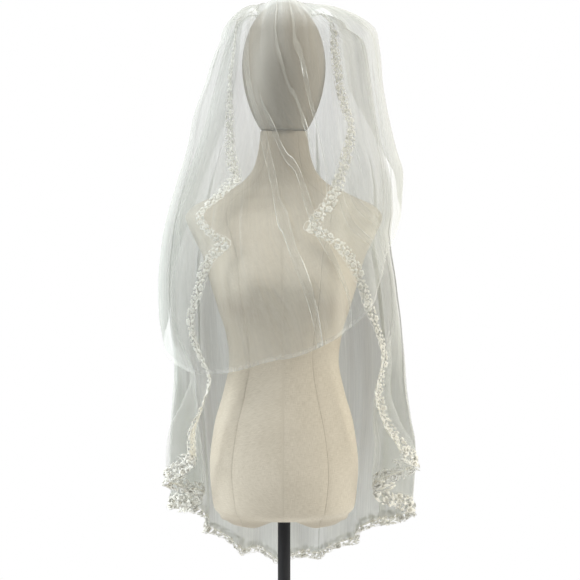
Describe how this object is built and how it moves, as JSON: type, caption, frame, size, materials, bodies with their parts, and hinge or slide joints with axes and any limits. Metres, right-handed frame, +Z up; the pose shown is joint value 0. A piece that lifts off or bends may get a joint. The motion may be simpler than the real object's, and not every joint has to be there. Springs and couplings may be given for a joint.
{
  "type": "bridal veil on dress form",
  "caption": "Tiered tulle bridal veil with floral lace edging, gathered on a comb and draped over a limbless dress form with a plain egg head, pole and round base.",
  "frame": {"origin": "centre of the base plate's underside, on the pole's axis", "axes": "+Z up along the pole; -Y is the front, the way the form faces; +X is the viewer's right"},
  "size_m": [0.5131, 0.3676, 1.6552],
  "materials": {
    "ivory_tulle": "sheer net, matt",
    "cream_lace": "corded floral lace, matt",
    "beige_linen": "plain woven linen, matt",
    "ivory_satin": "soft sheen",
    "black_steel": "satin black paint",
    "comb_plastic": "clear-set, glossy"
  },
  "bodies": {
    "root": {"stand_base": "black_steel", "stand_pole": "black_steel", "form_torso": "beige_linen", "form_head": "beige_linen", "comb": "comb_plastic", "gather_band": "ivory_satin", "long_tier": "ivory_tulle", "blusher_tier": "ivory_tulle", "lace_left_edge": "cream_lace", "lace_right_edge": "cream_lace", "lace_hem": "cream_lace"}
  },
  "joints": []
}
